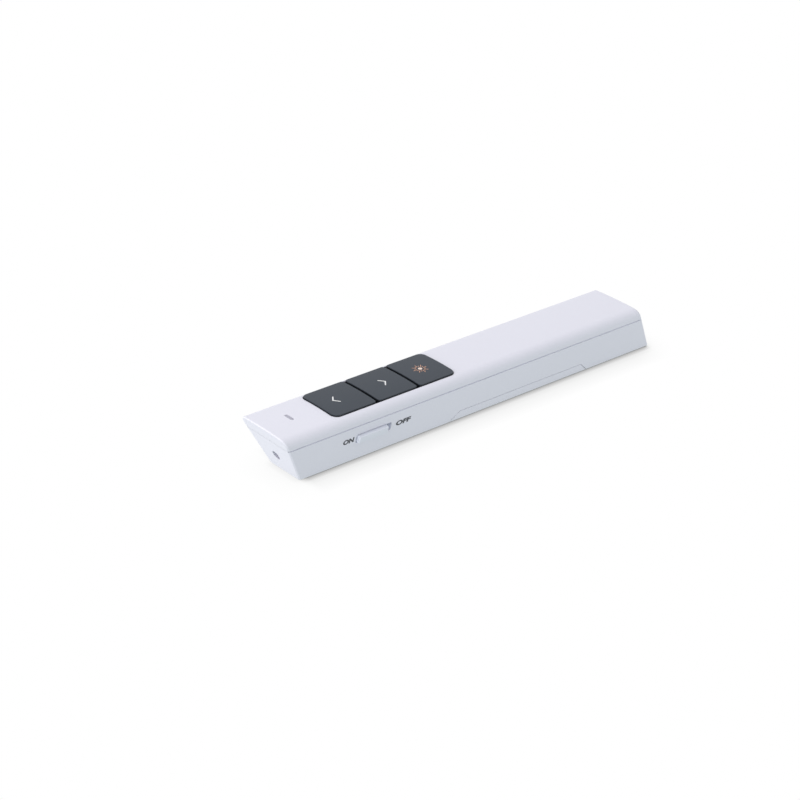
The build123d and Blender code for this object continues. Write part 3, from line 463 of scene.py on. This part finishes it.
for k, turn in enumerate(POLE_TURNS, 1):
    angle = math.radians(turn)
    print_on_cell(f"mark_plus_{k}", POLE_MARK, POLE_STROKE, PLUS_Y, angle)
    print_on_cell(f"mark_plus_bar_{k}", POLE_STROKE, POLE_MARK, PLUS_Y, angle)
    print_on_cell(f"mark_minus_{k}", POLE_MARK, POLE_STROKE, MINUS_Y, angle)

# ------------------------------------------------------------------ gold pads on the receiver's tongue
PAD_COUNT = 4
PAD_SPACING = 2.3 * MM
PAD_WIDTH = 1.0 * MM
PAD_LENGTH = 7.5 * MM
PAD_THICKNESS = 0.06 * MM
PAD_SETBACK = 0.4 * MM  # from the tongue's front edge

pads = bmesh.new()
for k in range(PAD_COUNT):
    x = (k - (PAD_COUNT - 1) / 2) * PAD_SPACING
    place = Matrix.Translation((x, tongue_low.y + PAD_SETBACK + PAD_LENGTH / 2, tongue_high.z))
    size = Matrix.Diagonal((PAD_WIDTH, PAD_LENGTH, PAD_THICKNESS, 1))
    bmesh.ops.create_cube(pads, size=1, matrix=place @ size)
new_piece("receiver_pads", mesh_of("receiver_pads", pads), finishes["brass_plain"], "receiver")

# ------------------------------------------------------------------ floor and backdrop
FLOOR_HALF = 1.5
FLOOR_DROP = 0.05 * MM  # of the floor below the object's underside
SHADOW = ((2 * MM, 0.444), (4 * MM, 0.146), (10 * MM, 0.245))  # reach and depth of each part of it
SHADOW_SAMPLES = 8
NOSE_FOOT_Y = -69.2 * MM  # where the nose face meets the floor
NOSE_SHADOW = 0.2  # share of the shadow that the nose's lamp leaves in front of it
FADE_LENGTH = 3 * MM  # over which the shadow comes back to its full depth
BOUNCE_COLOUR = (0.92, 1.0, 0.985, 1)
BOUNCE_STRENGTH = 0.7
SKY_STRENGTH = 0.8
WHITE = (1, 1, 1, 1)


def bare_nodes(holder):
    """A function that adds nodes to a material or world, which starts with none."""
    holder.use_nodes = True
    holder.node_tree.nodes.clear()
    return adder(holder.node_tree)


def seen_rays(add):
    """1 for the rays that show the backdrop: the camera's, those in gloss and those through glass."""
    path = add("ShaderNodeLightPath").outputs
    seen = combine(add, "MAXIMUM", path["Is Camera Ray"], path["Is Glossy Ray"])
    return combine(add, "MAXIMUM", seen, path["Is Transmission Ray"])


def soft_shadow(add):
    """How dark the shadow under the object is."""
    dark = 0.0
    for reach, depth in SHADOW:
        near = add("ShaderNodeAmbientOcclusion", {"Distance": reach}, samples=SHADOW_SAMPLES).outputs["AO"]
        dark = combine(add, "ADD", dark, remap(add, near, depth, 0.0))
    return dark


def split_rays(add, output, unseen, seen):
    """Ends a material or world in one shader for the rays that are seen and another for the rest."""
    choice = add("ShaderNodeMixShader", {0: seen_rays(add), 1: unseen.outputs[0], 2: seen.outputs[0]})
    add(output, {"Surface": choice.outputs[0]})


floor_shape = bmesh.new()
bmesh.ops.create_grid(floor_shape, x_segments=1, y_segments=1, size=FLOOR_HALF)
floor_mesh = mesh_of("floor", floor_shape)
floor = bpy.data.objects.new("floor", floor_mesh)
floor.location.z = -FLOOR_DROP
bpy.context.scene.collection.objects.link(floor)

# The floor is a clear sheet over the white backdrop that holds the object's soft shadow, so that the
# underside and the open cover show too. To all other rays it is white card that bounces light upwards.
floor_paint = bpy.data.materials.new("floor_paint")
add = bare_nodes(floor_paint)
where = add("ShaderNodeSeparateXYZ", {"Vector": add("ShaderNodeNewGeometry").outputs["Position"]})
share = remap(add, where.outputs["Y"], NOSE_SHADOW, 1.0, NOSE_FOOT_Y, NOSE_FOOT_Y + FADE_LENGTH)
tone = combine(add, "SUBTRACT", 1.0, combine(add, "MULTIPLY", soft_shadow(add), share), clamp=True)
card = add("ShaderNodeEmission", {"Color": BOUNCE_COLOUR, "Strength": BOUNCE_STRENGTH})
split_rays(add, "ShaderNodeOutputMaterial", card, add("ShaderNodeBsdfTransparent", {"Color": tone}))
floor_mesh.materials.append(floor_paint)

world = bpy.data.worlds.new("studio")
bpy.context.scene.world = world
add = bare_nodes(world)
sky = add("ShaderNodeBackground", {"Color": WHITE, "Strength": SKY_STRENGTH})
split_rays(add, "ShaderNodeOutputWorld", sky, add("ShaderNodeBackground", {"Color": WHITE}))


# ------------------------------------------------------------------ lights
def way_to(azimuth, elevation):
    """The way from the object to a viewer or a lamp. Azimuth 0 stands at -Y and 90 at +X."""
    a, e = math.radians(azimuth), math.radians(elevation)
    return Vector((math.sin(a) * math.cos(e), -math.cos(a) * math.cos(e), math.sin(e)))


def softbox(name, azimuth, elevation, distance, size, power, colour):
    """A square lamp that looks at the object."""
    lamp = bpy.data.lights.new(name, "AREA")
    lamp.energy = power
    lamp.color = colour
    lamp.size = size
    lamp_object = bpy.data.objects.new(name, lamp)
    back = way_to(azimuth, elevation)
    lamp_object.location = back * distance
    lamp_object.rotation_mode = "QUATERNION"
    lamp_object.rotation_quaternion = back.to_track_quat("Z", "Y")
    lamp_object.visible_glossy = False  # no glare on the top from behind
    bpy.context.scene.collection.objects.link(lamp_object)


softbox("nose_light", azimuth=-6, elevation=25, distance=1.2, size=0.9, power=8.1, colour=(1.06, 1.0, 1.0))

# ------------------------------------------------------------------ camera
VIEW_AZIMUTH = 47.926
VIEW_ELEVATION = 28.019
VIEW_ROLL = math.radians(2.499)
VIEW_DISTANCE = 661.6 * MM
FOCAL_PIXELS = 2140.1
IMAGE_PIXELS = 800
SENSOR = 36.0
CLIP_START = 10 * MM
AIM_POINT = Vector((0, -5.45 * MM, 7 * MM))
AIM_PIXEL = (447.85, 389.8)

back = way_to(VIEW_AZIMUTH, VIEW_ELEVATION)
level = Vector((math.cos(math.radians(VIEW_AZIMUTH)), math.sin(math.radians(VIEW_AZIMUTH)), 0))
upright = back.cross(level)
right = level * math.cos(VIEW_ROLL) + upright * math.sin(VIEW_ROLL)
up = -level * math.sin(VIEW_ROLL) + upright * math.cos(VIEW_ROLL)
per_pixel = VIEW_DISTANCE / FOCAL_PIXELS
aside = (AIM_PIXEL[0] - IMAGE_PIXELS / 2) * per_pixel
above = -(AIM_PIXEL[1] - IMAGE_PIXELS / 2) * per_pixel

lens = bpy.data.cameras.new("camera")
lens.sensor_width = SENSOR
lens.lens = FOCAL_PIXELS / IMAGE_PIXELS * SENSOR
lens.clip_start = CLIP_START
camera = bpy.data.objects.new("camera", lens)
camera.location = AIM_POINT + back * VIEW_DISTANCE - right * aside - up * above
camera.rotation_mode = "QUATERNION"
camera.rotation_quaternion = Matrix((right, up, back)).transposed().to_quaternion()
bpy.context.scene.collection.objects.link(camera)
bpy.context.scene.camera = camera

bpy.context.scene.view_settings.view_transform = "Standard"
